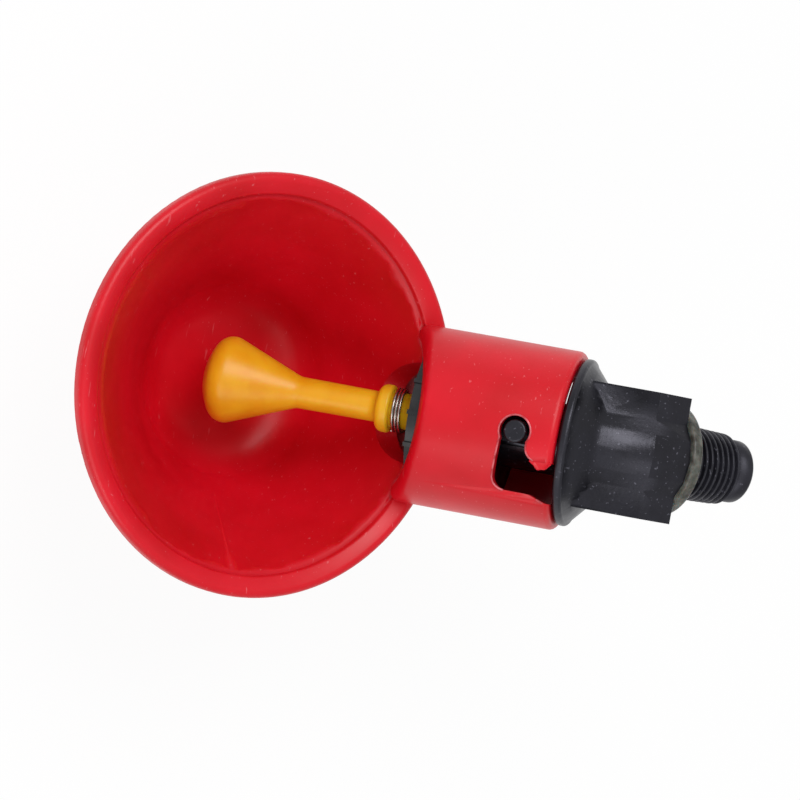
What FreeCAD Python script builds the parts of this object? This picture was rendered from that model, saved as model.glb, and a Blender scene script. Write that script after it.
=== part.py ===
import FreeCAD, Part
import math
import os
from FreeCAD import Placement, Rotation, Vector

# Poultry drinking cup, in millimetres. +Z is up and square to the level rim. +Y points
# along the inlet thread, into the pipe or tank wall. X runs across, and the object is
# built about the plane X = 0. The origin is the centre of the washer's sealing face.

# Red cup: bowl, rim and the socket sleeve that rises from the bowl's back
RIM_RADIUS = 27.6
RIM_WIDTH = 2.85
RIM_SLOPE = 24.0
RIM_HEIGHT = 2.6
RIM_TOP_ROUND = 0.9
RIM_UNDER_ROUND = 0.4
RIM_INNER_ROUND = 0.4
RIM_STEP = 0.9
RIM_LEDGE = 0.45
CUP_WALL = 1.7
BOWL_DEPTH = 30.7
BOWL_FLOOR_RADIUS = 13.5
BOWL_FLOOR_SHIFT = 8.5
BOWL_FLOOR_ROUND = 7.5
SLEEVE_INSIDE_RIM = 3.0
SLEEVE_TILT = 45.0
SLEEVE_LENGTH = 18.9
SLEEVE_RADIUS = 11.9
SLEEVE_WALL = 1.8
SLEEVE_END_ROUND = 0.8
MOUTH_OFFSET = 0.2
MOUTH_LEAN = 23.0
MOUTH_ROUND = 1.3
THROAT_GAP = 0.55
THROAT_RADIUS = 6.9
THROAT_LENGTH = 12.0

# Bayonet: two round pins on the valve, and a slot for each in the sleeve
PIN_RADIUS = 1.5
PIN_TO_SLEEVE_END = 5.4
PIN_TOP_BELOW_SLEEVE = 0.15
PIN_EDGE_ROUND = 0.35
PIN_COUNT = 2
SLOT_CLEARANCE = 0.25
POCKET_CLEARANCE = 0.6
SLOT_TRAVEL = 32.2
LEG_WIDENING = 0.65
ENTRY_LIP = 16.5
ENTRY_FLARE = 0.8
ENTRY_FLARE_DEPTH = 2.8
ENTRY_FLARE_ROUND = 2.0
SLOT_CORNER_EASE = 0.15

# Black valve body: head, barrel, flange, cone, elbow block and inlet thread
HEAD_CLEARANCE = 0.3
HEAD_TO_PIN = 1.85
HEAD_END_WALL = 1.2
WATERWAY_RADIUS = 2.6
BARREL_WALL = 2.2
FLANGE_GAP = 0.2
FLANGE_INSET = 0.8
FLANGE_THICKNESS = 1.3
FLANGE_ROUND = 0.5
CONE_LENGTH = 3.7
CONE_END_RADIUS = 6.4
ELBOW_DISTANCE = 28.2
WING_HALF_WIDTH = 8.3
WING_HALF_HEIGHT = 4.9
HUB_HALF_WIDTH = 4.7
HUB_SHOULDER_WIDTH = 2.8
HUB_SHOULDER_DROP = 0.6
HUB_RIDGE = 6.9
NUT_LENGTH = 3.1
THREAD_RADIUS = 4.86
THREAD_PARALLEL = 4.3
THREAD_LENGTH = 8.6
THREAD_TAPER = 1.79
THREAD_DEPTH = 0.56
NOSE_STEP = 0.4
NOSE_LENGTH = 2.7
NOSE_ROUND = 0.6

# Washer between the elbow block and the wall
WASHER_THICKNESS = 1.7
WASHER_WIDTH = 3.1
WASHER_BORE_CLEARANCE = 0.1

# Seat cap: the ribbed black cap screwed into the head, with the water seat in its floor
CAP_FACE = -1.2
CAP_INSET = 0.3
CAP_RIM_WIDTH = 1.9
CAP_RIM_LENGTH = 2.7
CAP_RIB_COUNT = 14
CAP_RIB_HEIGHT = 0.25
CAP_RIB_WIDTH = 0.6
CAP_RIB_PROUD = 0.15
GASKET_WIDTH = 2.1
GASKET_THICKNESS = 0.8
SPIGOT_WALL = 1.8
SPIGOT_LENGTH = 5.0
SPIGOT_CLEARANCE = 0.05
FLOOR_INSET = 0.7
FLOOR_THICKNESS = 1.4
SEAT_HOLE_GAP = 0.9

# Yellow trigger: bulb, waist, shaft, collar and stem, by distance along the sleeve axis
BULB_LENGTH = 13.1
BULB_DOME_RADIUS = 9.0
BULB_EDGE_ROUND = 2.2
BULB_CONE_ANGLE = 21.5
WAIST_RADIUS = 2.12
WAIST_ROUND = 2.5
SHAFT_LENGTH = 11.1
SHAFT_RADIUS = 2.06
COLLAR_END = -5.4
COLLAR_LENGTH = 2.0
COLLAR_PROUD = 0.2
COLLAR_ROUND = 1.0
STEM_RADIUS = 2.4
STEM_TO_FLOOR = 2.0
STEM_SOCKET = 3.6

# Valve pin pressed into the stem, and the rubber seal under its head
VALVE_PIN_RADIUS = 1.1
VALVE_PIN_CLEARANCE = 0.02
VALVE_PIN_HEAD_INSET = 0.4
VALVE_PIN_HEAD = 1.2
VALVE_PIN_ROUND = 0.3
SEAL_LAND = 1.4
SEAL_THICKNESS = 1.3
SEAL_BORE_CLEARANCE = 0.05

# Return spring: close coils behind the collar, open coils down to the cap's floor
WIRE_RADIUS = 0.21
SPRING_CLEARANCE = 0.18
CLOSE_PITCH = 0.45
CLOSE_TURNS = 3.0
OPEN_TURNS = 2.0
SEATED_TURNS = 1.0
SPRING_END_GAP = 0.02
POINTS_PER_TURN = 12

# Derived values shared by the parts
ELBOW_BACK = -(WASHER_THICKNESS + NUT_LENGTH)
tilt = math.radians(SLEEVE_TILT)
SLEEVE_AXIS = Vector(0, math.sin(tilt), math.cos(tilt))
ELBOW = Vector(0, ELBOW_BACK, 0)
CROSSING = ELBOW - SLEEVE_AXIS * ELBOW_DISTANCE
SLEEVE_REACH = RIM_RADIUS - SLEEVE_INSIDE_RIM
RIM_CENTRE = CROSSING - Vector(0, SLEEVE_REACH, 0)
BORE_RADIUS = SLEEVE_RADIUS - SLEEVE_WALL
OVERSHOOT = 2.0 * SLEEVE_RADIUS
RIM_INNER_RADIUS = RIM_RADIUS - RIM_WIDTH
RIM_DROP = RIM_WIDTH * math.tan(math.radians(RIM_SLOPE))
LEDGE_DEPTH = RIM_DROP + RIM_STEP
CAVITY_RADIUS = RIM_INNER_RADIUS - RIM_LEDGE
WALL_TOP_RADIUS = CAVITY_RADIUS + CUP_WALL
PIN_POSITION = SLEEVE_LENGTH - PIN_TO_SLEEVE_END
SLOT_HALF_WIDTH = PIN_RADIUS + SLOT_CLEARANCE
HEAD_RADIUS = BORE_RADIUS - HEAD_CLEARANCE
HEAD_END = PIN_POSITION - PIN_RADIUS - HEAD_TO_PIN
BARREL_RADIUS = WATERWAY_RADIUS + BARREL_WALL
FLANGE_RADIUS = SLEEVE_RADIUS - FLANGE_INSET
FLANGE_START = SLEEVE_LENGTH + FLANGE_GAP
FLANGE_END = FLANGE_START + FLANGE_THICKNESS
NECK_RADIUS = THREAD_RADIUS - THREAD_DEPTH
NOSE_RADIUS = NECK_RADIUS - NOSE_STEP

# Seat cap, gasket and chamber, each inside the last
CAP_RIM_RADIUS = HEAD_RADIUS - CAP_INSET
CAP_RIM_BACK = CAP_FACE + CAP_RIM_LENGTH
CAP_RECESS_RADIUS = CAP_RIM_RADIUS - CAP_RIM_WIDTH
HEAD_START = CAP_RIM_BACK + GASKET_THICKNESS
SPIGOT_RADIUS = CAP_RIM_RADIUS - GASKET_WIDTH
SPIGOT_END = CAP_RIM_BACK + SPIGOT_LENGTH
CHAMBER_RADIUS = SPIGOT_RADIUS - SPIGOT_WALL
FLOOR_FRONT = CAP_RIM_BACK + FLOOR_INSET
FLOOR_BACK = FLOOR_FRONT + FLOOR_THICKNESS
SEAT_HOLE_RADIUS = VALVE_PIN_RADIUS + SEAT_HOLE_GAP
SEAL_RADIUS = SEAT_HOLE_RADIUS + SEAL_LAND
SEAL_BACK = FLOOR_BACK + SEAL_THICKNESS
VALVE_PIN_HEAD_RADIUS = SEAL_RADIUS - VALVE_PIN_HEAD_INSET

# Trigger and spring, from the stem out
SPRING_RADIUS = STEM_RADIUS + SPRING_CLEARANCE + WIRE_RADIUS
COLLAR_RADIUS = SPRING_RADIUS + WIRE_RADIUS + COLLAR_PROUD
COLLAR_START = COLLAR_END - COLLAR_LENGTH
WAIST_POSITION = COLLAR_START - SHAFT_LENGTH
TRIGGER_TIP = WAIST_POSITION - BULB_LENGTH
STEM_END = FLOOR_FRONT - STEM_TO_FLOOR

# The bowl's back wall closes the sleeve's bore just in front of the cap's ribs
THROAT_BACK = CAP_FACE - CAP_RIB_PROUD - THROAT_GAP

X_AXIS = Vector(1, 0, 0)
Z_AXIS = Vector(0, 0, 1)
ORIGIN = Vector(0, 0, 0)


def on_sleeve(shape):
    """Turn a shape built along Z about the origin onto the sleeve axis."""
    placed = shape.copy()
    placed.Placement = Placement(CROSSING, Rotation(X_AXIS, -SLEEVE_TILT)).multiply(shape.Placement)
    return placed


def rod(radius, start, end):
    """Cylinder on the Z axis between two heights."""
    return Part.makeCylinder(radius, end - start, Vector(0, 0, start), Z_AXIS)


def ring(outer, inner, start, end):
    """Plain tube on the Z axis between two heights."""
    return rod(outer, start, end).cut(rod(inner, start, end))


def turned(points):
    """Solid of revolution about Z from a closed outline of (radius, height) points."""
    corners = [Vector(radius, 0, height) for radius, height in points]
    outline = Part.makePolygon(corners + corners[:1])
    return Part.Face(outline).revolve(ORIGIN, Z_AXIS, 360)


def circles_at(shape, radius, height):
    """Circular edges of one radius and height, picked out to be rounded."""
    found = []
    for edge in shape.Edges:
        if edge.Degenerated or not isinstance(edge.Curve, Part.Circle):
            continue
        if abs(edge.Curve.Radius - radius) < 1e-4 and abs(edge.Curve.Center.z - height) < 1e-4:
            found.append(edge)
    return found


def rounded(shape, radius, height, round_radius):
    """Round the circular edge at one radius and height."""
    return shape.makeFillet(round_radius, circles_at(shape, radius, height))


def bowl_body(top_radius, top, floor_radius, floor, corner_round):
    """Round body that leans back as it goes down: its floor lies nearer to the sleeve."""
    wires = []
    for radius, height, shift in ((top_radius, top, 0), (floor_radius, floor, BOWL_FLOOR_SHIFT)):
        circle = Part.makeCircle(radius, Vector(0, shift, height), Z_AXIS)
        wires.append(Part.Wire(circle))
    body = Part.makeLoft(wires, True, True)
    low = [edge for edge in body.Edges if abs(edge.BoundBox.ZMax - floor) < 1e-4]
    return body.makeFillet(corner_round, low)


def bowl_cavity(top):
    """Inside of the bowl, up to the given height over the rim."""
    lower = bowl_body(CAVITY_RADIUS, -LEDGE_DEPTH, BOWL_FLOOR_RADIUS - CUP_WALL,
                      CUP_WALL - BOWL_DEPTH, BOWL_FLOOR_ROUND - CUP_WALL)
    return lower.fuse(rod(RIM_INNER_RADIUS, -LEDGE_DEPTH, top))


def bowl_outside():
    """Outside of the bowl's wall and floor, without the rim."""
    return bowl_body(WALL_TOP_RADIUS, -LEDGE_DEPTH, BOWL_FLOOR_RADIUS, -BOWL_DEPTH, BOWL_FLOOR_ROUND)


def rim_lip():
    """Thick rim, with its top face sloping in and down to the bowl."""
    outline = [
        (0, -RIM_HEIGHT),
        (RIM_RADIUS, -RIM_HEIGHT),
        (RIM_RADIUS, 0),
        (RIM_INNER_RADIUS, -RIM_DROP),
        (0, -RIM_DROP),
    ]
    lip = rounded(turned(outline), RIM_RADIUS, 0, RIM_TOP_ROUND)
    return rounded(lip, RIM_RADIUS, -RIM_HEIGHT, RIM_UNDER_ROUND)


def bowl_shell():
    """Hollow bowl with its rim, about the middle of the rim."""
    shell = bowl_outside().fuse(rim_lip()).cut(bowl_cavity(0))
    return rounded(shell, RIM_INNER_RADIUS, -RIM_DROP, RIM_INNER_ROUND)


def at_rim(shape):
    """Move a shape built about the origin to the middle of the rim."""
    placed = shape.copy()
    placed.Placement = Placement(RIM_CENTRE, Rotation()).multiply(shape.Placement)
    return placed


def above_band():
    """Space over the level of the rim's inner edge, big enough for the sleeve."""
    side = 4 * RIM_RADIUS
    return Part.makeBox(side, side, side, RIM_CENTRE - Vector(side / 2, side / 2, RIM_DROP))


def sleeve_below():
    """Outside of the sleeve under the rim, down to where it runs into the bowl."""
    tube = rod(SLEEVE_RADIUS, -OVERSHOOT, SLEEVE_LENGTH)
    tube = rounded(tube, SLEEVE_RADIUS, SLEEVE_LENGTH, SLEEVE_END_ROUND)
    return on_sleeve(tube).cut(above_band())


def mouth_front():
    """Space in front of the hood's mouth, which leans towards upright."""
    side = 8 * SLEEVE_RADIUS
    block = Part.makeBox(side, side, side, Vector(-side / 2, -side / 2, -side))
    block.rotate(ORIGIN, X_AXIS, -MOUTH_LEAN)
    block.translate(Vector(0, -BORE_RADIUS, MOUTH_OFFSET))
    return block


def sleeve_hood():
    """Outside of the sleeve over the rim, with a soft round along its mouth."""
    hood = rod(SLEEVE_RADIUS, -OVERSHOOT, SLEEVE_LENGTH).cut(mouth_front())
    oval = [edge for edge in hood.Edges if not edge.Degenerated and isinstance(edge.Curve, Part.Ellipse)]
    hood = hood.makeFillet(MOUTH_ROUND, oval)
    hood = rounded(hood, SLEEVE_RADIUS, SLEEVE_LENGTH, SLEEVE_END_ROUND)
    return on_sleeve(hood).common(above_band())


def sleeve_bore():
    """Bore down to the bowl's back wall, the space round that wall, and the throat through it."""
    bore = on_sleeve(rod(BORE_RADIUS, THROAT_BACK, SLEEVE_LENGTH + OVERSHOOT))
    front = on_sleeve(rod(BORE_RADIUS, -OVERSHOOT, THROAT_BACK)).cut(at_rim(bowl_outside()))
    throat = on_sleeve(rod(THROAT_RADIUS, -THROAT_LENGTH, SLEEVE_LENGTH))
    return [bore, front, throat]


def upright_edges(shape, corners):
    """Edges square to an outline at some of its corners, picked out to be rounded."""
    found = []
    for edge in shape.Edges:
        middle = edge.CenterOfMass
        for across, along in corners:
            if abs(middle.x - across) < 1e-4 and abs(middle.z - along) < 1e-4:
                found.append(edge)
    return found


def bayonet_slot():
    """Hook-shaped slot, cut straight in: entry from the open end, a turn, and the pin's pocket."""
    turn_end = math.radians(SLOT_TRAVEL) + SLOT_HALF_WIDTH / SLEEVE_RADIUS
    side = SLEEVE_RADIUS * math.sin(turn_end)
    lip = SLEEVE_RADIUS * math.sin(math.radians(ENTRY_LIP))
    front = PIN_POSITION - SLOT_HALF_WIDTH
    back = PIN_POSITION + SLOT_HALF_WIDTH
    beyond = SLEEVE_LENGTH + SLEEVE_WALL
    low_corner = (side, front - LEG_WIDENING)
    lip_corner = (lip, back)
    flare_corner = (side, SLEEVE_LENGTH - ENTRY_FLARE_DEPTH)
    outline = [
        (0, front),
        low_corner,
        flare_corner,
        (side + ENTRY_FLARE, SLEEVE_LENGTH - SLEEVE_END_ROUND),
        (side + ENTRY_FLARE, beyond),
        (lip, beyond),
        lip_corner,
        (0, back),
    ]
    corners = [Vector(across, 0, along) for across, along in outline]
    face = Part.Face(Part.makePolygon(corners + corners[:1]))
    cutter = face.extrude(Vector(0, -2 * SLEEVE_RADIUS, 0))
    turns = upright_edges(cutter, [low_corner, lip_corner])
    cutter = cutter.makeFillet(SLOT_HALF_WIDTH - SLOT_CORNER_EASE, turns)
    cutter = cutter.makeFillet(ENTRY_FLARE_ROUND, upright_edges(cutter, [flare_corner]))
    pocket = Part.makeCylinder(PIN_RADIUS + POCKET_CLEARANCE, 2 * SLEEVE_RADIUS, Vector(0, 0, PIN_POSITION),
                               Vector(0, -1, 0))
    return cutter.fuse(pocket)


def make_cup():
    """Bowl, rim, sleeve, hood and bayonet slots as one moulding."""
    cavity = at_rim(bowl_cavity(RIM_HEIGHT))
    cup = at_rim(bowl_shell()).fuse([sleeve_below().cut(cavity), sleeve_hood()]).removeSplitter()
    for space in sleeve_bore():
        cup = cup.cut(space)
    for index in range(PIN_COUNT):
        slot = bayonet_slot()
        slot.rotate(ORIGIN, Z_AXIS, 360 * index / PIN_COUNT)
        cup = cup.cut(on_sleeve(slot))
    return cup


def block_section():
    """Outline across the elbow block: two flat wings and a ridged hub."""
    shoulder = (HUB_SHOULDER_WIDTH, HUB_RIDGE - HUB_SHOULDER_DROP)
    quarter = [(0, HUB_RIDGE), shoulder, (HUB_HALF_WIDTH, WING_HALF_HEIGHT), (WING_HALF_WIDTH, WING_HALF_HEIGHT)]
    right = quarter + [(x, -y) for x, y in reversed(quarter)]
    left = [(-x, y) for x, y in reversed(right[1:-1])]
    return right + left


def block_prism(start, end):
    """Elbow block section drawn out along Z."""
    corners = [Vector(x, y, start) for x, y in block_section()]
    face = Part.Face(Part.makePolygon(corners + corners[:1]))
    return face.extrude(Vector(0, 0, end - start))


def on_thread(shape):
    """Turn a shape built along Z about the origin onto the thread axis."""
    placed = shape.copy()
    placed.Placement = Placement(ORIGIN, Rotation(X_AXIS, -90)).multiply(shape.Placement)
    return placed


def miter_space():
    """Half space behind the miter plane that halves the elbow's turn."""
    side = 4 * HUB_RIDGE
    halfway = (SLEEVE_TILT + 90) / 2
    block = Part.makeBox(side, side, side, Vector(-side / 2, -side / 2, -side))
    block.Placement = Placement(ELBOW, Rotation(X_AXIS, -halfway)).multiply(block.Placement)
    return block


def elbow_block():
    """Two prisms that meet at the miter plane, with the flange's cone behind them."""
    start = FLANGE_END
    far = ELBOW_DISTANCE + WING_HALF_WIDTH
    behind = miter_space()
    sleeve_half = on_sleeve(block_prism(start, far)).common(behind)
    back = ELBOW_BACK - WING_HALF_WIDTH
    thread_half = on_thread(block_prism(back, -WASHER_THICKNESS)).cut(behind)
    return sleeve_half.fuse(thread_half)


def flange_and_cone():
    """Round flange that meets the sleeve's end, and the cone behind it."""
    disc = rod(FLANGE_RADIUS, FLANGE_START, FLANGE_END)
    disc = rounded(disc, FLANGE_RADIUS, FLANGE_START, FLANGE_ROUND)
    disc = rounded(disc, FLANGE_RADIUS, FLANGE_END, FLANGE_ROUND)
    base = FLANGE_RADIUS - FLANGE_ROUND
    cone = Part.makeCone(base, CONE_END_RADIUS, CONE_LENGTH, Vector(0, 0, FLANGE_END), Z_AXIS)
    return on_sleeve(disc.fuse(cone))


def head_and_barrel():
    """Wide hollow head, narrow barrel and the two bayonet pins."""
    solid = rod(HEAD_RADIUS, HEAD_START, HEAD_END).fuse(rod(BARREL_RADIUS, HEAD_END, FLANGE_END))
    top = SLEEVE_RADIUS - PIN_TOP_BELOW_SLEEVE
    for index in range(PIN_COUNT):
        pin = rounded(rod(PIN_RADIUS, 0, top), PIN_RADIUS, top, PIN_EDGE_ROUND)
        pin.rotate(ORIGIN, X_AXIS, 90)
        pin.translate(Vector(0, 0, PIN_POSITION))
        pin.rotate(ORIGIN, Z_AXIS, 360 * index / PIN_COUNT)
        solid = solid.fuse(pin)
    return on_sleeve(solid)


def inlet_spigot():
    """Neck, tapering thread at crest size, and the plain nose at its end."""
    thread_end = THREAD_LENGTH - THREAD_PARALLEL
    end_radius = THREAD_RADIUS - thread_end * math.tan(math.radians(THREAD_TAPER))
    neck = rod(NECK_RADIUS, -WASHER_THICKNESS, 0)
    parallel = rod(THREAD_RADIUS, 0, THREAD_PARALLEL)
    taper = Part.makeCone(THREAD_RADIUS, end_radius, thread_end, Vector(0, 0, THREAD_PARALLEL), Z_AXIS)
    nose_end = THREAD_LENGTH + NOSE_LENGTH
    nose = rounded(rod(NOSE_RADIUS, THREAD_LENGTH, nose_end), NOSE_RADIUS, nose_end, NOSE_ROUND)
    return on_thread(neck.fuse([parallel, taper, nose]))


def make_valve_body():
    """One black moulding, with the waterway bored through both legs of the elbow."""
    solid = head_and_barrel().fuse([flange_and_cone(), elbow_block(), inlet_spigot()])
    socket = rod(SPIGOT_RADIUS + SPIGOT_CLEARANCE, HEAD_START, SPIGOT_END)
    chamber = rod(CHAMBER_RADIUS, HEAD_START, HEAD_END - HEAD_END_WALL)
    waterway = rod(WATERWAY_RADIUS, HEAD_START, ELBOW_DISTANCE)
    solid = solid.cut(on_sleeve(socket.fuse([chamber, waterway])))
    inlet = on_thread(rod(WATERWAY_RADIUS, ELBOW_BACK, THREAD_LENGTH + NOSE_LENGTH))
    bend = Part.makeSphere(WATERWAY_RADIUS, ELBOW)
    return solid.cut(inlet.fuse(bend)).removeSplitter()


def make_seat_cap():
    """Ribbed cap rim, threaded spigot, and the floor with the hole that the seal closes."""
    outline = [
        (CAP_RECESS_RADIUS, CAP_FACE),
        (CAP_RIM_RADIUS, CAP_FACE),
        (CAP_RIM_RADIUS, CAP_RIM_BACK),
        (SPIGOT_RADIUS, CAP_RIM_BACK),
        (SPIGOT_RADIUS, SPIGOT_END),
        (CHAMBER_RADIUS, SPIGOT_END),
        (CHAMBER_RADIUS, FLOOR_BACK),
        (SEAT_HOLE_RADIUS, FLOOR_BACK),
        (SEAT_HOLE_RADIUS, FLOOR_FRONT),
        (CHAMBER_RADIUS, FLOOR_FRONT),
        (CHAMBER_RADIUS, CAP_RIM_BACK),
    ]
    cap = turned(outline)
    reach = CAP_RIM_RADIUS + CAP_RIB_HEIGHT
    ribs = []
    for index in range(CAP_RIB_COUNT):
        depth = reach - CAP_RECESS_RADIUS - (CAP_RIM_RADIUS - CAP_RECESS_RADIUS) / 2
        start = CAP_FACE - CAP_RIB_PROUD
        rib = Part.makeBox(CAP_RIB_WIDTH, depth, CAP_RIM_BACK - start,
                           Vector(-CAP_RIB_WIDTH / 2, -reach, start))
        rib.rotate(ORIGIN, Z_AXIS, 360 * index / CAP_RIB_COUNT)
        ribs.append(rib)
    return on_sleeve(cap.fuse(ribs).removeSplitter())


def make_cap_gasket():
    """Flat rubber ring between the cap's rim and the head."""
    inner = SPIGOT_RADIUS + SPIGOT_CLEARANCE
    return on_sleeve(ring(CAP_RIM_RADIUS, inner, CAP_RIM_BACK, HEAD_START))


def make_thread_washer():
    """Soft flat washer on the neck behind the thread."""
    inner = NECK_RADIUS + WASHER_BORE_CLEARANCE
    return on_thread(ring(inner + WASHER_WIDTH, inner, -WASHER_THICKNESS, 0))


def trigger_bulb():
    """Cone that widens towards the tip, closed by a shallow dome with a soft edge."""
    length = WAIST_POSITION - TRIGGER_TIP
    widest = WAIST_RADIUS + length * math.tan(math.radians(BULB_CONE_ANGLE))
    cone = Part.makeCone(widest, WAIST_RADIUS, length, Vector(0, 0, TRIGGER_TIP), Z_AXIS)
    dome = Part.makeSphere(BULB_DOME_RADIUS, Vector(0, 0, TRIGGER_TIP + BULB_DOME_RADIUS))
    bulb = cone.common(dome)
    circles = [edge for edge in bulb.Edges if not edge.Degenerated and isinstance(edge.Curve, Part.Circle)]
    level = [edge for edge in circles if abs(edge.Curve.Axis.z) > 0.5]
    edge_of_dome = max(level, key=lambda edge: edge.Curve.Radius)
    return bulb.makeFillet(BULB_EDGE_ROUND, [edge_of_dome])


def make_trigger():
    """One yellow moulding: bulb, waist, shaft, collar and stem."""
    outline = [
        (0, WAIST_POSITION),
        (WAIST_RADIUS, WAIST_POSITION),
        (SHAFT_RADIUS, COLLAR_START),
        (COLLAR_RADIUS, COLLAR_START),
        (COLLAR_RADIUS, COLLAR_END),
        (STEM_RADIUS, COLLAR_END),
        (STEM_RADIUS, STEM_END),
        (0, STEM_END),
    ]
    body = trigger_bulb().fuse(turned(outline)).removeSplitter()
    body = rounded(body, WAIST_RADIUS, WAIST_POSITION, WAIST_ROUND)
    body = rounded(body, COLLAR_RADIUS, COLLAR_START, COLLAR_ROUND)
    body = rounded(body, COLLAR_RADIUS, COLLAR_END, COLLAR_ROUND / 2)
    socket = rod(VALVE_PIN_RADIUS + VALVE_PIN_CLEARANCE, STEM_END - STEM_SOCKET, STEM_END)
    return on_sleeve(body.cut(socket))


def make_valve_pin():
    """Steel pin through the seat hole, with the flat head that carries the seal."""
    head = rod(VALVE_PIN_HEAD_RADIUS, SEAL_BACK, SEAL_BACK + VALVE_PIN_HEAD)
    head = rounded(head, VALVE_PIN_HEAD_RADIUS, SEAL_BACK + VALVE_PIN_HEAD, VALVE_PIN_ROUND)
    return on_sleeve(head.fuse(rod(VALVE_PIN_RADIUS, STEM_END - STEM_SOCKET, SEAL_BACK)).removeSplitter())


def make_valve_seal():
    """Rubber disc that closes the seat hole from the water side."""
    return on_sleeve(ring(SEAL_RADIUS, VALVE_PIN_RADIUS + SEAL_BORE_CLEARANCE, FLOOR_BACK, SEAL_BACK))


def spring_path():
    """Centre line of the spring's wire, with its pitch opening and closing smoothly."""
    first = COLLAR_END + SPRING_END_GAP + WIRE_RADIUS
    last = FLOOR_FRONT - SPRING_END_GAP - WIRE_RADIUS
    close_length = CLOSE_TURNS * CLOSE_PITCH
    seated_length = SEATED_TURNS * CLOSE_PITCH
    open_length = last - first - close_length - seated_length
    turns = CLOSE_TURNS + OPEN_TURNS + SEATED_TURNS
    points = []
    for step in range(round(turns * POINTS_PER_TURN) + 1):
        turn = step / POINTS_PER_TURN
        share = min(max((turn - CLOSE_TURNS) / OPEN_TURNS, 0), 1)
        height = first + min(turn, CLOSE_TURNS) * CLOSE_PITCH + open_length * share
        height += max(turn - CLOSE_TURNS - OPEN_TURNS, 0) * CLOSE_PITCH
        angle = 2 * math.pi * turn
        points.append(Vector(SPRING_RADIUS * math.cos(angle), SPRING_RADIUS * math.sin(angle), height))
    return points


def make_return_spring():
    """Round wire carried along the spring's centre line."""
    points = spring_path()
    curve = Part.BSplineCurve()
    curve.interpolate(points)
    path = Part.Wire(curve.toShape())
    start = curve.tangent(curve.FirstParameter)[0]
    profile = Part.Wire(Part.makeCircle(WIRE_RADIUS, points[0], start))
    spring = path.makePipeShell([profile], True, True)
    return on_sleeve(spring)


NODES = {
    "cup": make_cup,
    "valve_body": make_valve_body,
    "seat_cap": make_seat_cap,
    "cap_gasket": make_cap_gasket,
    "thread_washer": make_thread_washer,
    "trigger": make_trigger,
    "valve_pin": make_valve_pin,
    "valve_seal": make_valve_seal,
    "return_spring": make_return_spring,
}

os.makedirs("parts", exist_ok=True)
for node, make in NODES.items():
    shape = make()
    shape.exportStep("parts/" + node + ".step")
    box = shape.BoundBox
    print(node, shape.isValid(), len(shape.Solids), "solids", round(shape.Volume, 1), "mm3",
          "x", round(box.XMin, 2), round(box.XMax, 2), "y", round(box.YMin, 2), round(box.YMax, 2),
          "z", round(box.ZMin, 2), round(box.ZMax, 2))
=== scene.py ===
import math

import bmesh
import bpy
import numpy as np
from mathutils import Matrix, Vector


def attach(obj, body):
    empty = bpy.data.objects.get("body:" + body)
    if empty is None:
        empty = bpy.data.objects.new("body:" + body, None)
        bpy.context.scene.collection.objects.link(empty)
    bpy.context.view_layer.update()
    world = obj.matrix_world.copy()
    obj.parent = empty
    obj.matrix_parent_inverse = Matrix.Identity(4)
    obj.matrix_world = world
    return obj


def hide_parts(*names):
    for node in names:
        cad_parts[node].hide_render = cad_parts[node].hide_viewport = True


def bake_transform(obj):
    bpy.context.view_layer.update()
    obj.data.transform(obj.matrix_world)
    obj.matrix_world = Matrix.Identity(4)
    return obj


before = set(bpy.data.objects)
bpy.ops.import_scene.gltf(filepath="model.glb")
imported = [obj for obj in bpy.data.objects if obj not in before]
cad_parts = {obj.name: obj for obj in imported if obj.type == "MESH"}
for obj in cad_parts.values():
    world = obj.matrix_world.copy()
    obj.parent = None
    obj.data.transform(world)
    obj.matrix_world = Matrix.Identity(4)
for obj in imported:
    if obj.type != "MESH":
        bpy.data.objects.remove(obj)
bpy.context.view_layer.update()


# Camera. It looks down into the bowl from the front, rolled so that the thread points
# to the lower right of the picture. Distances are in metres, angles in degrees.
CAMERA_TARGET = (-0.00126, -0.03521, -0.012)
CAMERA_DISTANCE = 0.4477
CAMERA_ELEVATION = 57.59
CAMERA_ASIDE = 0.53
CAMERA_ROLL = 10.39
FOCAL_PIXELS = 3470.0
PICTURE_PIXELS = 800.0
SENSOR_WIDTH = 36.0
NEAR_CLIP = 0.01
FAR_CLIP = 20


def in_scene(name, data):
    """Object that holds the given data, at the origin."""
    made = bpy.data.objects.new(name, data)
    bpy.context.scene.collection.objects.link(made)
    return made


def camera_turn():
    """Camera axes as columns: right, up and back, from elevation, side angle and roll."""
    elevation = math.radians(CAMERA_ELEVATION)
    aside = math.radians(CAMERA_ASIDE)
    roll = math.radians(CAMERA_ROLL)
    forward = math.cos(aside) * math.cos(elevation)
    back = Vector((math.sin(aside), -forward, math.cos(aside) * math.sin(elevation)))
    level = (-back).cross(Vector((-1, 0, 0))).normalized()
    upright = level.cross(-back)
    right = level * math.cos(roll) + upright * math.sin(roll)
    up = -level * math.sin(roll) + upright * math.cos(roll)
    return right, up, back


camera_data = bpy.data.cameras.new("camera")
camera_data.sensor_width = SENSOR_WIDTH
camera_data.lens = FOCAL_PIXELS / PICTURE_PIXELS * SENSOR_WIDTH
camera_data.clip_start = NEAR_CLIP
camera_data.clip_end = FAR_CLIP
camera = in_scene("camera", camera_data)
cam_right, cam_up, cam_back = camera_turn()
cam_place = Matrix.Translation(Vector(CAMERA_TARGET) + cam_back * CAMERA_DISTANCE)
camera.matrix_world = cam_place @ Matrix((cam_right, cam_up, cam_back)).transposed().to_4x4()
bpy.context.scene.camera = camera


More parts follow.
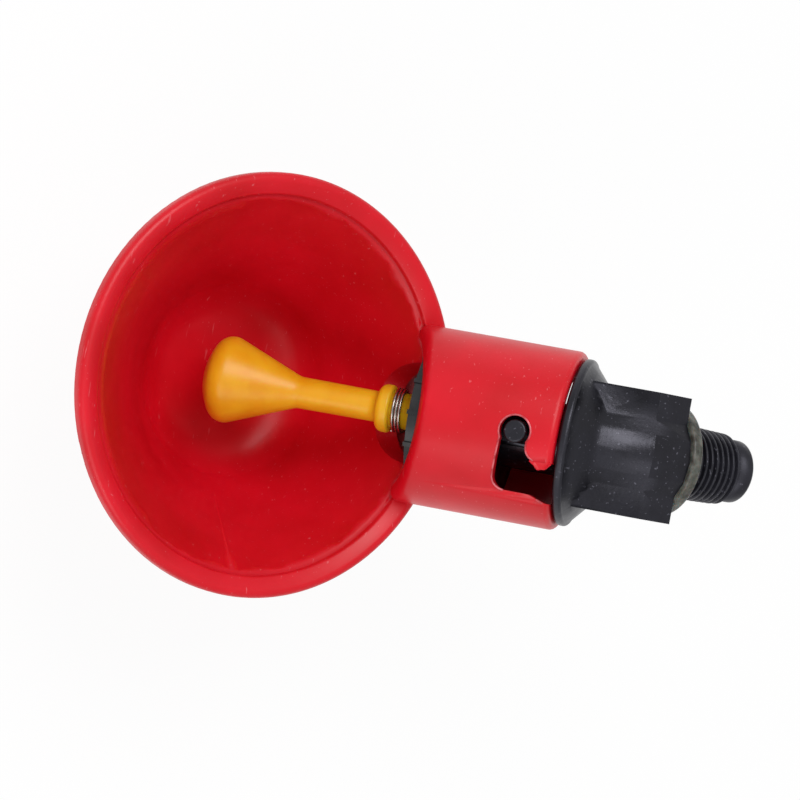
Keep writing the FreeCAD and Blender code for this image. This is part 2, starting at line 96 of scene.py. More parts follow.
# Cup. One red polypropylene moulding: the bowl with its thick rim, and the sleeve with the
# hook-shaped bayonet slots. The valve slides into the sleeve and locks with its two pins.
MM = 0.001
SLEEVE_START = np.array([0.0, -24.7404, -19.9404]) * MM
SLEEVE_ALONG = np.array([0.0, math.sqrt(0.5), math.sqrt(0.5)])
SLEEVE_UP = np.array([0.0, -math.sqrt(0.5), math.sqrt(0.5)])
ACROSS = np.array([1.0, 0.0, 0.0])
SLEEVE_RADIUS = 11.9 * MM
RED_LIGHT = "#DA0C23"
RED_DEEP = "#C60415"
RED_PALE = "#E58A90"
RED_MARK_SHARE = 0.32
RED_TONES_PER_METRE = 90.0
RED_GLOSS_PER_METRE = 140.0
RED_SPECKS_PER_METRE = 2600.0
RED_HAIRS_PER_METRE = 260.0
RED_SKIN_PER_METRE = 1500.0
CUP_EDGE_ANGLE = 28
MERGE_DISTANCE = 2e-6
SLIVER_LENGTH = 1e-6


def linear(hex_colour):
    """sRGB hex colour as linear red, green, blue and alpha."""
    values = [int(hex_colour[i:i + 2], 16) / 255 for i in (1, 3, 5)]
    return [v / 12.92 if v <= 0.04045 else ((v + 0.055) / 1.055) ** 2.4 for v in values] + [1.0]


def add(tree, kind, sockets=None, **settings):
    """One shader node. Settings are its properties. Each socket, by name or number, gets a
    value or the output of another node."""
    made = tree.nodes.new(kind)
    for name, value in settings.items():
        setattr(made, name, value)
    for name, value in (sockets or {}).items():
        if isinstance(value, bpy.types.NodeSocket):
            tree.links.new(value, made.inputs[name])
        else:
            made.inputs[name].default_value = value
    return made


def new_material(name):
    """Empty node material, and the object coordinates that its patterns read."""
    material = bpy.data.materials.new(name)
    material.use_nodes = True
    tree = material.node_tree
    tree.nodes.clear()
    return material, tree, add(tree, "ShaderNodeTexCoord").outputs["Object"]


def merged_copy(node, name):
    """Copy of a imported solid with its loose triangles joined."""
    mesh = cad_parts[node].data.copy()
    mesh.name = name
    mesh.materials.clear()
    work = bmesh.new()
    work.from_mesh(mesh)
    bmesh.ops.remove_doubles(work, verts=work.verts, dist=MERGE_DISTANCE)
    bmesh.ops.dissolve_degenerate(work, edges=work.edges, dist=SLIVER_LENGTH)
    work.to_mesh(mesh)
    work.free()
    return in_scene(name, mesh)


def smooth_by_angle(piece, degrees):
    """Smooth shading, with edges sharper than the angle kept hard."""
    mesh = piece.data
    mesh.polygons.foreach_set("use_smooth", np.ones(len(mesh.polygons), dtype=bool))
    mesh.set_sharp_from_angle(angle=math.radians(degrees))


def red_polypropylene():
    """Satin injection-moulded polypropylene: saturated red that lets a little light in, with
    pale dust specks 0.4 mm across, hairline scratches 4 mm long and 0.4 mm wide, which is as
    coarse as they need to be to show, and a fine skin."""
    material, tree, place = new_material("moulded_red_polypropylene")
    tone = add(tree, "ShaderNodeTexNoise", {"Vector": place, "Scale": RED_TONES_PER_METRE, "Detail": 3.0})
    shift = add(tree, "ShaderNodeMapRange", {"Value": tone.outputs[0], "From Min": 0.3, "From Max": 0.7})
    red = add(tree, "ShaderNodeMix", {0: shift.outputs[0], 6: linear(RED_DEEP), 7: linear(RED_LIGHT)},
              data_type="RGBA")
    speck = add(tree, "ShaderNodeTexNoise", {
        "Vector": place, "Scale": RED_SPECKS_PER_METRE, "Detail": 1.0})
    specks = add(tree, "ShaderNodeMapRange", {
        "Value": speck.outputs[0], "From Min": 0.745, "From Max": 0.775})
    drawn = add(tree, "ShaderNodeMapping", {
        "Vector": place, "Rotation": (0.4, 0.3, 0.9), "Scale": (1.0, 9.0, 9.0)})
    hair = add(tree, "ShaderNodeTexNoise", {
        "Vector": drawn.outputs[0], "Scale": RED_HAIRS_PER_METRE, "Detail": 2.0})
    hairs = add(tree, "ShaderNodeMapRange", {"Value": hair.outputs[0], "From Min": 0.7, "From Max": 0.75})
    marks = add(tree, "ShaderNodeMath", {0: specks.outputs[0], 1: hairs.outputs[0]}, operation="MAXIMUM")
    share = add(tree, "ShaderNodeMath", {0: marks.outputs[0], 1: RED_MARK_SHARE}, operation="MULTIPLY")
    skin_red = add(tree, "ShaderNodeMix", {0: share.outputs[0], 6: red.outputs[2], 7: linear(RED_PALE)},
                   data_type="RGBA")
    skin = add(tree, "ShaderNodeTexNoise", {"Vector": place, "Scale": RED_SKIN_PER_METRE, "Detail": 3.0})
    bump = add(tree, "ShaderNodeBump", {"Height": skin.outputs[0], "Strength": 0.06, "Distance": 0.0002})
    gloss = add(tree, "ShaderNodeTexNoise", {"Vector": place, "Scale": RED_GLOSS_PER_METRE, "Detail": 2.0})
    rough = add(tree, "ShaderNodeMapRange", {"Value": gloss.outputs[0], "To Min": 0.3, "To Max": 0.46})
    shader = add(tree, "ShaderNodeBsdfPrincipled", {
        "Base Color": skin_red.outputs[2], "Roughness": rough.outputs[0], "Normal": bump.outputs[0],
        "IOR": 1.49, "Specular IOR Level": 0.38,
        "Subsurface Weight": 0.1, "Subsurface Scale": 0.0012, "Subsurface Radius": (1.0, 0.12, 0.1)})
    add(tree, "ShaderNodeOutputMaterial", {"Surface": shader.outputs[0]})
    return material


cup = merged_copy("cup", "cup_moulding")
smooth_by_angle(cup, CUP_EDGE_ANGLE)
red_plastic = red_polypropylene()
cup.data.materials.append(red_plastic)
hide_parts("cup")
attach(cup, "cup")


# Burr. The thin raised line that the mould and the pins leave round each bayonet slot, and
# the shred of red plastic that the pin has torn up at the corner of the slot's entry.
BURR_RADIUS = 0.12 * MM
BURR_FIRST = 10.0 * MM
BURR_LAST = 18.2 * MM
BURR_HALF_TURN = 60.0
SKIN_TOLERANCE = 0.02 * MM
SHRED_FIRST = 16.0 * MM
SHRED_LAST = 18.9 * MM
SHRED_ANGLE = 16.2
SHRED_WIDTH = 1.25 * MM
SHRED_LIFT = 0.4 * MM
SHRED_THICKNESS = 0.14 * MM
SHRED_ROOT_DEPTH = 0.1 * MM
# Burr colours: the pale pink is partly scraped whitening and partly a painted highlight along the slot's
# edge.
BURR_PINK_HIGHLIGHT = "#F08088"
BURR_DEEP_RED = "#A81A26"
BURR_PINK_GRAIN_PER_METRE = 700.0


def scraped_highlit_polypropylene():
    """Polypropylene that has been bent and scraped, pale pink: partly whitened where it was stretched and
    partly a painted highlight along the slot's edge.
    """
    material, tree, place = new_material("scraped_red_polypropylene_painted_highlight")
    pink_grain = add(tree, "ShaderNodeTexNoise", {
        "Vector": place, "Scale": BURR_PINK_GRAIN_PER_METRE, "Detail": 3.0})
    shift = add(tree, "ShaderNodeMapRange", {
        "Value": pink_grain.outputs[0], "From Min": 0.35, "From Max": 0.65})
    pink = add(tree, "ShaderNodeMix", {0: shift.outputs[0], 6: linear(BURR_DEEP_RED), 7: linear(BURR_PINK_HIGHLIGHT)},
               data_type="RGBA")
    bump = add(tree, "ShaderNodeBump", {"Height": pink_grain.outputs[0], "Strength": 0.3, "Distance": 0.0002})
    shader = add(tree, "ShaderNodeBsdfPrincipled", {
        "Base Color": pink.outputs[2], "Normal": bump.outputs[0], "Roughness": 0.4, "IOR": 1.49,
        "Subsurface Weight": 0.2, "Subsurface Scale": 0.001, "Subsurface Radius": (1.0, 0.12, 0.1)})
    add(tree, "ShaderNodeOutputMaterial", {"Surface": shader.outputs[0]})
    return material


def slot_edges(mesh):
    """Hard edges of the cup that lie on the sleeve's outer skin within the slots' reach: both
    ends one sleeve radius from its axis, between two positions and near the top or bottom."""
    points = np.empty(len(mesh.vertices) * 3)
    mesh.vertices.foreach_get("co", points)
    points = points.reshape(-1, 3)
    edges = np.empty(len(mesh.edges) * 2, dtype=np.int32)
    mesh.edges.foreach_get("vertices", edges)
    edges = edges.reshape(-1, 2)
    hard = np.zeros(len(edges), dtype=bool)
    mesh.attributes["sharp_edge"].data.foreach_get("value", hard)
    offset = points - SLEEVE_START
    position = offset @ SLEEVE_ALONG
    up = offset @ SLEEVE_UP
    reach = np.hypot(up, offset[:, 0])
    turn = np.degrees(np.arctan2(offset[:, 0], np.abs(up)))
    on_skin = np.abs(reach - SLEEVE_RADIUS) < SKIN_TOLERANCE
    on_skin &= (position > BURR_FIRST) & (position < BURR_LAST) & (np.abs(turn) < BURR_HALF_TURN)
    chosen = edges[hard & on_skin[edges].all(axis=1)]
    used, place = np.unique(chosen, return_inverse=True)
    return points[used], place.reshape(-1, 2)


def shred_points(columns=28, rows=9):
    """Torn flap: along the lip and out into the slot, its width a hump with a little sine waviness,
    and curling away from the sleeve as the square of the distance from the lip."""
    along = np.linspace(0, 1, columns)[:, None]
    out = np.linspace(0, 1, rows)[None, :]
    jagged = 0.78 + 0.14 * np.sin(7 * along + 3.6) + 0.08 * np.sin(17 * along + 1.0)
    width = SHRED_WIDTH * jagged * np.sin(math.pi * np.clip(along, 0.02, 0.98)) ** 0.7
    turn = math.radians(SHRED_ANGLE) + out * width / SLEEVE_RADIUS
    curl = SHRED_LIFT * (out ** 2) * (0.4 + 0.6 * np.sin(5 * along) ** 2)
    radius = SLEEVE_RADIUS - SHRED_ROOT_DEPTH + curl
    position = SHRED_FIRST + (SHRED_LAST - SHRED_FIRST) * along + 0 * out
    outward = np.cos(turn)[..., None] * SLEEVE_UP + np.sin(turn)[..., None] * ACROSS
    return SLEEVE_START + position[..., None] * SLEEVE_ALONG + radius[..., None] * outward


def open_grid(name, points):
    """Mesh from a (rows, columns, 3) array of points with free edges."""
    rows, columns = points.shape[:2]
    index = np.arange(rows * columns).reshape(rows, columns)
    corners = [index[:-1, :-1], index[:-1, 1:], index[1:, 1:], index[1:, :-1]]
    quads = np.stack(corners, axis=-1).reshape(-1, 4)
    mesh = bpy.data.meshes.new(name)
    mesh.from_pydata(points.reshape(-1, 3).tolist(), [], quads.tolist())
    mesh.polygons.foreach_set("use_smooth", np.ones(len(mesh.polygons), dtype=bool))
    return in_scene(name, mesh)


highlit_burr_plastic = scraped_highlit_polypropylene()
line_points, line_edges = slot_edges(cup.data)
line_mesh = bpy.data.meshes.new("slot_burr")
line_mesh.from_pydata(line_points.tolist(), line_edges.tolist(), [])
burr = in_scene("slot_burr", line_mesh)
bpy.ops.object.select_all(action="DESELECT")
burr.select_set(True)
bpy.context.view_layer.objects.active = burr
bpy.ops.object.convert(target="CURVE")
burr.data.bevel_depth = BURR_RADIUS
burr.data.bevel_resolution = 2
bpy.ops.object.convert(target="MESH")
burr.data.materials.clear()
# The burr's pale pink is partly a painted highlight along the slot's edge.
burr.data.materials.append(highlit_burr_plastic)
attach(burr, "cup")

shred = open_grid("torn_slot_lip", shred_points())
wall = shred.modifiers.new("thickness", "SOLIDIFY")
wall.thickness = SHRED_THICKNESS
wall.offset = 0
shred.data.materials.append(red_plastic)
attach(shred, "cup")


# Valve body. One black nylon moulding: head and pins in the sleeve, flange and cone at its
# end, the winged elbow block, and the inlet spigot that carries the pipe thread.
THREAD_PITCH = 0.907 * MM
THREAD_CREST = 4.86 * MM
THREAD_ROOT = 4.3 * MM
THREAD_CORE = 4.05 * MM
THREAD_PARALLEL = 4.3 * MM
THREAD_LENGTH = 8.6 * MM
THREAD_TAPER = math.tan(math.radians(1.79))
THREAD_FADE_IN = 0.5 * THREAD_PITCH
THREAD_FADE_OUT = 0.4 * THREAD_PITCH
RIDGE_GAIN = 1.25
RIDGE_CUT = 0.1
SUNK_END = 0.93
AXIAL_TOLERANCE = 0.01 * MM
WATERWAY_SKIN = 3.0 * MM
NOSE_BACK = 4.5 * MM
NOSE_WIDENING = 1.07
BLACK_LOW = "#08080B"
BLACK_HIGH = "#16161C"
# Pale specks on the black: partly dust, partly painted glints of the textured surface.
BLACK_PALE_SPECK = "#5C5B65"
BLACK_PALE_SPECK_SHARE = 0.8
BLACK_PATCHES_PER_METRE = 160.0
BLACK_GRAIN_PER_METRE = 2200.0
VALVE_EDGE_ANGLE = 20


def black_nylon():
    """Moulded black nylon: near-black and glossy, with greyer and rougher patches a few
    millimetres across where the mould was worn, and a scatter of fine pale specks, partly dust and partly
    painted glints."""
    material, tree, place = new_material("moulded_black_nylon")
    tone = add(tree, "ShaderNodeTexNoise", {
        "Vector": place, "Scale": BLACK_PATCHES_PER_METRE, "Detail": 5.0, "Roughness": 0.6})
    worn = add(tree, "ShaderNodeMapRange", {"Value": tone.outputs[0], "From Min": 0.4, "From Max": 0.68})
    black = add(tree, "ShaderNodeMix", {0: worn.outputs[0], 6: linear(BLACK_LOW), 7: linear(BLACK_HIGH)},
                data_type="RGBA")
    # Pale specks: partly dust, partly painted glints of the textured surface.
    grain = add(tree, "ShaderNodeTexNoise", {
        "Vector": place, "Scale": BLACK_GRAIN_PER_METRE, "Detail": 2.0})
    dust = add(tree, "ShaderNodeMapRange", {"Value": grain.outputs[0], "From Min": 0.66, "From Max": 0.73})
    spread = add(tree, "ShaderNodeMath", {0: dust.outputs[0], 1: BLACK_PALE_SPECK_SHARE}, operation="MULTIPLY")
    specked_black = add(tree, "ShaderNodeMix", {0: spread.outputs[0], 6: black.outputs[2], 7: linear(BLACK_PALE_SPECK)},
                data_type="RGBA")
    rough = add(tree, "ShaderNodeMapRange", {"Value": worn.outputs[0], "To Min": 0.3, "To Max": 0.5})
    bump = add(tree, "ShaderNodeBump", {"Height": grain.outputs[0], "Strength": 0.12, "Distance": 0.0002})
    shader = add(tree, "ShaderNodeBsdfPrincipled", {
        "Base Color": specked_black.outputs[2], "Roughness": rough.outputs[0], "Normal": bump.outputs[0],
        "IOR": 1.53, "Specular Tint": (0.86, 0.85, 1.0, 1.0)})
    add(tree, "ShaderNodeOutputMaterial", {"Surface": shader.outputs[0]})
    return material


def grid_mesh(name, points, close_rows=False):
    """Mesh from a (rows, columns, 3) array of points, its faces turned outwards. Columns wrap
    round; rows may too."""
    rows, columns = points.shape[:2]
    index = np.arange(rows * columns).reshape(rows, columns)
    last = rows if close_rows else rows - 1
    here = index[:last]
    there = np.roll(index, -1, axis=0)[:last]
    corners = [here, np.roll(here, -1, axis=1), np.roll(there, -1, axis=1), there]
    quads = np.stack(corners, axis=-1).reshape(-1, 4)
    mesh = bpy.data.meshes.new(name)
    mesh.from_pydata(points.reshape(-1, 3).tolist(), [], quads.tolist())
    work = bmesh.new()
    work.from_mesh(mesh)
    bmesh.ops.recalc_face_normals(work, faces=work.faces)
    work.to_mesh(mesh)
    work.free()
    mesh.polygons.foreach_set("use_smooth", np.ones(len(mesh.polygons), dtype=bool))
    return in_scene(name, mesh)


def thread_points(columns=120, rows_per_turn=18):
    """Radius over turn angle and length: the crest line less a rounded V that climbs one pitch a turn.
    The ridge fades in over half a turn behind the washer and out at the nose, and both ends sink
    into the core."""
    rows = int(THREAD_LENGTH / THREAD_PITCH * rows_per_turn)
    length = np.linspace(0, THREAD_LENGTH, rows)[:, None]
    turn = np.linspace(0, 2 * math.pi, columns, endpoint=False)[None, :]
    crest = THREAD_CREST - np.clip(length - THREAD_PARALLEL, 0, None) * THREAD_TAPER
    wave = 0.5 + 0.5 * np.cos(2 * math.pi * (length / THREAD_PITCH - turn / (2 * math.pi)))
    ridge = np.clip(wave * RIDGE_GAIN - RIDGE_CUT, 0, 1)
    fade_in = np.clip(length / THREAD_FADE_IN, 0, 1)
    fade_out = np.clip((THREAD_LENGTH - length) / THREAD_FADE_OUT, 0, 1)
    root = crest - (THREAD_CREST - THREAD_ROOT)
    radius = root + (crest - root) * ridge * fade_in * fade_out
    radius = np.concatenate([radius[:1] * SUNK_END, radius, radius[-1:] * SUNK_END])
    length = np.concatenate([length[:1], length, length[-1:]])
    return np.stack([radius * np.sin(turn), length + 0 * turn, radius * np.cos(turn)], axis=-1)


def fit_to_thread(mesh):
    """Draws the smooth thread envelope in to a core that the ridges cover, and widens the plain
    nose beyond it to just under the last ridge's crest."""
    points = np.empty(len(mesh.vertices) * 3)
    mesh.vertices.foreach_get("co", points)
    points = points.reshape(-1, 3)
    reach = np.hypot(points[:, 0], points[:, 2])
    along = points[:, 1]
    outside = reach > WATERWAY_SKIN
    nose = outside & (along > THREAD_LENGTH - AXIAL_TOLERANCE) & (reach < NOSE_BACK)
    threaded = outside & (along > -AXIAL_TOLERANCE) & (along < THREAD_LENGTH + AXIAL_TOLERANCE) & ~nose
    scale = np.where(threaded, np.minimum(1, THREAD_CORE / np.maximum(reach, 1e-9)), 1)
    scale = np.where(nose, NOSE_WIDENING, scale)
    points[:, 0] *= scale
    points[:, 2] *= scale
    mesh.vertices.foreach_set("co", points.reshape(-1))


valve = merged_copy("valve_body", "valve_moulding")
fit_to_thread(valve.data)
smooth_by_angle(valve, VALVE_EDGE_ANGLE)
nylon = black_nylon()
valve.data.materials.append(nylon)
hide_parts("valve_body")
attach(valve, "valve")

thread = grid_mesh("inlet_thread_ridges", thread_points())
thread.data.materials.append(nylon)
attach(thread, "valve")


# Washer. Soft clear silicone ring pressed between the elbow block and the wall,
# cloudy, with a yellowish tinge where it is thick.
WASHER_OUTER = 7.49 * MM
WASHER_INNER = 4.42 * MM
WASHER_BACK = -1.7 * MM
SILICONE_DEEP = "#3C3C37"
SILICONE_PALE = "#85857C"
SILICONE_CLOUDS_PER_METRE = 700.0


def lathe_points(profile, columns=128):
    """Profile rows of (radius, length) turned about the thread axis."""
    turn = np.linspace(0, 2 * math.pi, columns, endpoint=False)[None, :]
    radius = profile[:, :1]
    return np.stack([radius * np.sin(turn), profile[:, 1:] + 0 * turn, radius * np.cos(turn)], axis=-1)


def ring_profile(inner, outer, low, high, power=5.0, steps=48):
    """Closed ring section: a rounded rectangle, from a superellipse of the given power."""
    angle = np.linspace(0, 2 * math.pi, steps, endpoint=False)
    across = np.sign(np.cos(angle)) * np.abs(np.cos(angle)) ** (2 / power)
    along = np.sign(np.sin(angle)) * np.abs(np.sin(angle)) ** (2 / power)
    radius = (inner + outer) / 2 + across * (outer - inner) / 2
    return np.stack([radius, (low + high) / 2 + along * (high - low) / 2], axis=1)


def silicone():
    """Moulded clear silicone: cloudy and waxy, light passes some way into it."""
    material, tree, place = new_material("moulded_clear_silicone")
    cloud = add(tree, "ShaderNodeTexNoise", {
        "Vector": place, "Scale": SILICONE_CLOUDS_PER_METRE, "Detail": 4.0, "Roughness": 0.65})
    shift = add(tree, "ShaderNodeMapRange", {
        "Value": cloud.outputs[0], "From Min": 0.35, "From Max": 0.68})
    pale = add(tree, "ShaderNodeMix", {
        0: shift.outputs[0], 6: linear(SILICONE_DEEP), 7: linear(SILICONE_PALE)}, data_type="RGBA")
    bump = add(tree, "ShaderNodeBump", {"Height": cloud.outputs[0], "Strength": 0.25, "Distance": 0.0003})
    shader = add(tree, "ShaderNodeBsdfPrincipled", {
        "Base Color": pale.outputs[2], "Normal": bump.outputs[0], "IOR": 1.41, "Roughness": 0.32,
        "Subsurface Weight": 0.4, "Subsurface Scale": 0.001, "Transmission Weight": 0.35})
    add(tree, "ShaderNodeOutputMaterial", {"Surface": shader.outputs[0]})
    return material


washer_profile = ring_profile(WASHER_INNER, WASHER_OUTER, WASHER_BACK, 0)
washer = grid_mesh("thread_washer_ring", lathe_points(washer_profile), close_rows=True)
washer.data.materials.append(silicone())
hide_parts("thread_washer")
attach(washer, "valve")


# Seat cap, gasket, seal and pin. A ribbed nylon cap screws into the head on a rubber ring;
# the steel pin holds the rubber seal against its floor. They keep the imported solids.
RUBBER_DEEP = "#141414"
RUBBER_BLOOM = "#2B2B2A"
RUBBER_BLOOM_PER_METRE = 900.0
CAP_DEEP = "#101113"
CAP_PALE = "#232528"
CAP_GRAIN_PER_METRE = 700.0
PIN_STEEL = "#C4C3C6"
PIN_MARKS_PER_METRE = 1800.0


def dark_rubber():
    """Moulded black rubber: matt, with a faint bloom."""
    material, tree, place = new_material("moulded_black_rubber")
    bloom = add(tree, "ShaderNodeTexNoise", {
        "Vector": place, "Scale": RUBBER_BLOOM_PER_METRE, "Detail": 3.0})
    shift = add(tree, "ShaderNodeMapRange", {"Value": bloom.outputs[0], "From Min": 0.3, "From Max": 0.75})
    black = add(tree, "ShaderNodeMix", {
        0: shift.outputs[0], 6: linear(RUBBER_DEEP), 7: linear(RUBBER_BLOOM)}, data_type="RGBA")
    bump = add(tree, "ShaderNodeBump", {"Height": bloom.outputs[0], "Strength": 0.15, "Distance": 0.0002})
    shader = add(tree, "ShaderNodeBsdfPrincipled", {
        "Base Color": black.outputs[2], "Normal": bump.outputs[0], "IOR": 1.52, "Roughness": 0.75})
    add(tree, "ShaderNodeOutputMaterial", {"Surface": shader.outputs[0]})
    return material


def cap_nylon():
    """Moulded black nylon, a little greyer than the body and wet-looking."""
    material, tree, place = new_material("moulded_black_nylon_cap")
    tone = add(tree, "ShaderNodeTexNoise", {"Vector": place, "Scale": CAP_GRAIN_PER_METRE, "Detail": 3.0})
    shift = add(tree, "ShaderNodeMapRange", {"Value": tone.outputs[0], "From Min": 0.35, "From Max": 0.72})
    black = add(tree, "ShaderNodeMix", {0: shift.outputs[0], 6: linear(CAP_DEEP), 7: linear(CAP_PALE)},
                data_type="RGBA")
    bump = add(tree, "ShaderNodeBump", {"Height": tone.outputs[0], "Strength": 0.12, "Distance": 0.0002})
    shader = add(tree, "ShaderNodeBsdfPrincipled", {
        "Base Color": black.outputs[2], "Normal": bump.outputs[0], "IOR": 1.53, "Roughness": 0.34})
    add(tree, "ShaderNodeOutputMaterial", {"Surface": shader.outputs[0]})
    return material


def turned_steel():
    """Turned stainless steel: bright, with a fine unevenness that the tool left in its gloss."""
    material, tree, place = new_material("turned_stainless_steel")
    marks = add(tree, "ShaderNodeTexNoise", {"Vector": place, "Scale": PIN_MARKS_PER_METRE, "Detail": 2.0})
    rough = add(tree, "ShaderNodeMapRange", {"Value": marks.outputs[0], "To Min": 0.18, "To Max": 0.35})
    shader = add(tree, "ShaderNodeBsdfPrincipled", {
        "Base Color": linear(PIN_STEEL), "Roughness": rough.outputs[0], "Metallic": 1.0})
    add(tree, "ShaderNodeOutputMaterial", {"Surface": shader.outputs[0]})
    return material


def give(node, material):
    """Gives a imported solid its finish."""
    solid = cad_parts[node]
    solid.data.materials.clear()
    solid.data.materials.append(material)


rubber = dark_rubber()
give("seat_cap", cap_nylon())
give("cap_gasket", rubber)
give("valve_seal", rubber)
give("valve_pin", turned_steel())


# Trigger. One yellow acetal moulding that the bird pecks: bulb with a shallow dome, waist,
# shaft and collar, and the stem that holds the valve pin.
YELLOW_LIGHT = "#EEB921"
YELLOW_DEEP = "#E4A010"
YELLOW_TONES_PER_METRE = 260.0
YELLOW_SKIN_PER_METRE = 1600.0
TRIGGER_EDGE_ANGLE = 35


def yellow_acetal():
    """Moulded acetal: waxy amber yellow that lets light in, so thin and turned-away places look
    orange."""
    material, tree, place = new_material("moulded_yellow_acetal")
    tone = add(tree, "ShaderNodeTexNoise", {
        "Vector": place, "Scale": YELLOW_TONES_PER_METRE, "Detail": 3.0})
    shift = add(tree, "ShaderNodeMapRange", {"Value": tone.outputs[0], "From Min": 0.3, "From Max": 0.7})
    amber = add(tree, "ShaderNodeMix", {
        0: shift.outputs[0], 6: linear(YELLOW_DEEP), 7: linear(YELLOW_LIGHT)}, data_type="RGBA")
    skin = add(tree, "ShaderNodeTexNoise", {"Vector": place, "Scale": YELLOW_SKIN_PER_METRE, "Detail": 2.0})
    bump = add(tree, "ShaderNodeBump", {"Height": skin.outputs[0], "Strength": 0.08, "Distance": 0.0002})
    shader = add(tree, "ShaderNodeBsdfPrincipled", {
        "Base Color": amber.outputs[2], "Normal": bump.outputs[0], "IOR": 1.48, "Roughness": 0.33,
        "Specular IOR Level": 0.4,
        "Subsurface Weight": 0.4, "Subsurface Scale": 0.0015, "Subsurface Radius": (1.0, 0.4, 0.08)})
    add(tree, "ShaderNodeOutputMaterial", {"Surface": shader.outputs[0]})
    return material


trigger = merged_copy("trigger", "trigger_moulding")
smooth_by_angle(trigger, TRIGGER_EDGE_ANGLE)
trigger.data.materials.append(yellow_acetal())
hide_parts("trigger")
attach(trigger, "trigger")


# Return spring. Bright drawn steel wire: three close coils behind the collar, two open turns
# and one seated on the cap's floor.
WIRE_RADIUS = 0.21 * MM
COIL_RADIUS = 2.79 * MM
COIL_START = -5.17 * MM
COIL_END = 1.97 * MM
CLOSE_PITCH = 0.45 * MM
CLOSE_TURNS = 3.0
OPEN_TURNS = 2.0
SEATED_TURNS = 1.0
WIRE_STEEL = "#BDB7B0"
WIRE_MARKS_PER_METRE = 2400.0


def coil_points(steps_per_turn=48, around=12):
    """Circle of wire carried along a helix whose pitch is close, then open, then close again."""
    turns = CLOSE_TURNS + OPEN_TURNS + SEATED_TURNS
    turn = np.linspace(0, turns, int(turns * steps_per_turn) + 1)
    open_length = COIL_END - COIL_START - (CLOSE_TURNS + SEATED_TURNS) * CLOSE_PITCH
    height = COIL_START + np.minimum(turn, CLOSE_TURNS) * CLOSE_PITCH
    height = height + open_length * np.clip((turn - CLOSE_TURNS) / OPEN_TURNS, 0, 1)
    height = height + np.maximum(turn - CLOSE_TURNS - OPEN_TURNS, 0) * CLOSE_PITCH
    angle = 2 * math.pi * turn[:, None, None]
    outward = np.cos(angle) * ACROSS - np.sin(angle) * SLEEVE_UP
    centre = SLEEVE_START + height[:, None, None] * SLEEVE_ALONG + COIL_RADIUS * outward
    ring = np.linspace(0, 2 * math.pi, around, endpoint=False)[None, :, None]
    tube = centre + WIRE_RADIUS * (np.cos(ring) * outward + np.sin(ring) * SLEEVE_ALONG)
    caps = [centre[:1] + 0 * tube[:1], centre[-1:] + 0 * tube[-1:]]
    return np.concatenate([caps[0], tube, caps[1]])


def drawn_wire():
    """Bright drawn spring steel: polished by the die, with small marks where it is a little
    duller."""
    material, tree, place = new_material("drawn_spring_steel")
    marks = add(tree, "ShaderNodeTexNoise", {"Vector": place, "Scale": WIRE_MARKS_PER_METRE, "Detail": 2.0})
    rough = add(tree, "ShaderNodeMapRange", {"Value": marks.outputs[0], "To Min": 0.2, "To Max": 0.34})
    shader = add(tree, "ShaderNodeBsdfPrincipled", {
        "Base Color": linear(WIRE_STEEL), "Roughness": rough.outputs[0], "Metallic": 1.0})
    add(tree, "ShaderNodeOutputMaterial", {"Surface": shader.outputs[0]})
    return material


spring = grid_mesh("return_spring_wire", coil_points())
spring.data.materials.append(drawn_wire())
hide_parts("return_spring")
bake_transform(spring)


# Floor, world and lamps. A plain pale floor, white to the camera, and soft even light.
FLOOR_HEIGHT = -0.057
FLOOR_HALF = 3.0
FLOOR_GLOW = 0.93
WORLD_LEVEL = 0.56
KEY_PLACE = (-0.45, -0.25, 0.75)
KEY_SIZE = 0.5
KEY_WATTS = 4.2
FILL_PLACE = (0.6, -0.5, 0.55)
FILL_SIZE = 0.6
FILL_WATTS = 2.4
BOARD_WHITE = "#F4F4F4"


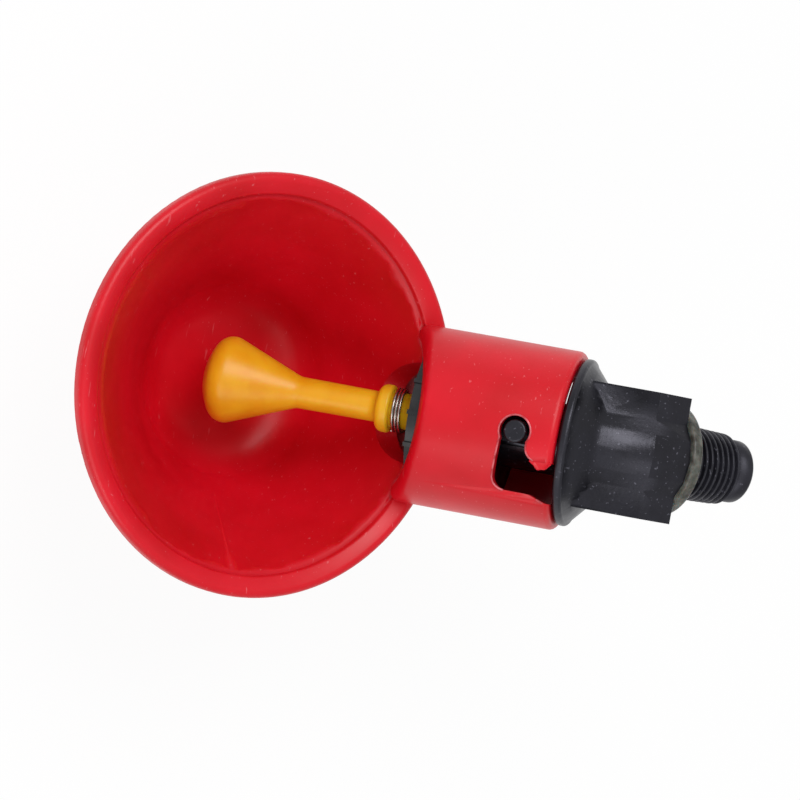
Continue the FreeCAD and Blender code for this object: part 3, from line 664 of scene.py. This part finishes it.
def pale_floor():
    """Matt white board. Camera and mirror rays see it near white, and it keeps a soft shadow."""
    material, tree, _ = new_material("painted_white_board")
    board = add(tree, "ShaderNodeBsdfDiffuse", {"Color": linear(BOARD_WHITE)})
    glow = add(tree, "ShaderNodeEmission", {"Color": (1, 1, 1, 1), "Strength": 1.0})
    path = add(tree, "ShaderNodeLightPath")
    mirror = add(tree, "ShaderNodeMath", {
        0: path.outputs["Is Camera Ray"], 1: path.outputs["Is Glossy Ray"]}, operation="MAXIMUM")
    seen = add(tree, "ShaderNodeMath", {0: mirror.outputs[0], 1: path.outputs["Is Transmission Ray"]},
               operation="MAXIMUM")
    share = add(tree, "ShaderNodeMath", {0: seen.outputs[0], 1: FLOOR_GLOW}, operation="MULTIPLY")
    mixed = add(tree, "ShaderNodeMixShader", {
        0: share.outputs[0], 1: board.outputs[0], 2: glow.outputs[0]})
    add(tree, "ShaderNodeOutputMaterial", {"Surface": mixed.outputs[0]})
    return material


floor_signs = ((-1, -1), (1, -1), (1, 1), (-1, 1))
floor_corners = [(x * FLOOR_HALF, y * FLOOR_HALF, FLOOR_HEIGHT) for x, y in floor_signs]
floor_mesh = bpy.data.meshes.new("floor")
floor_mesh.from_pydata(floor_corners, [], [(0, 1, 2, 3)])
floor = in_scene("floor", floor_mesh)
floor.data.materials.append(pale_floor())

world = bpy.data.worlds.new("studio")
world.use_nodes = True
bpy.context.scene.world = world
sky = world.node_tree
sky.nodes.clear()
sky_path = add(sky, "ShaderNodeLightPath")
sky_level = add(sky, "ShaderNodeMapRange", {
    "Value": sky_path.outputs["Is Camera Ray"], "To Min": WORLD_LEVEL, "To Max": 1.0})
air = add(sky, "ShaderNodeBackground", {"Color": (1, 1, 1, 1), "Strength": sky_level.outputs[0]})
add(sky, "ShaderNodeOutputWorld", {"Surface": air.outputs[0]})


def soft_lamp(name, place, size, watts):
    """Square area lamp that faces the object."""
    data = bpy.data.lights.new(name, "AREA")
    data.size = size
    data.energy = watts
    lamp = in_scene(name, data)
    aim = Vector(CAMERA_TARGET) - Vector(place)
    turned = aim.to_track_quat("-Z", "Y").to_matrix().to_4x4()
    lamp.matrix_world = Matrix.Translation(Vector(place)) @ turned


soft_lamp("key", KEY_PLACE, KEY_SIZE, KEY_WATTS)
soft_lamp("fill", FILL_PLACE, FILL_SIZE, FILL_WATTS)

bpy.context.scene.view_settings.view_transform = "Standard"
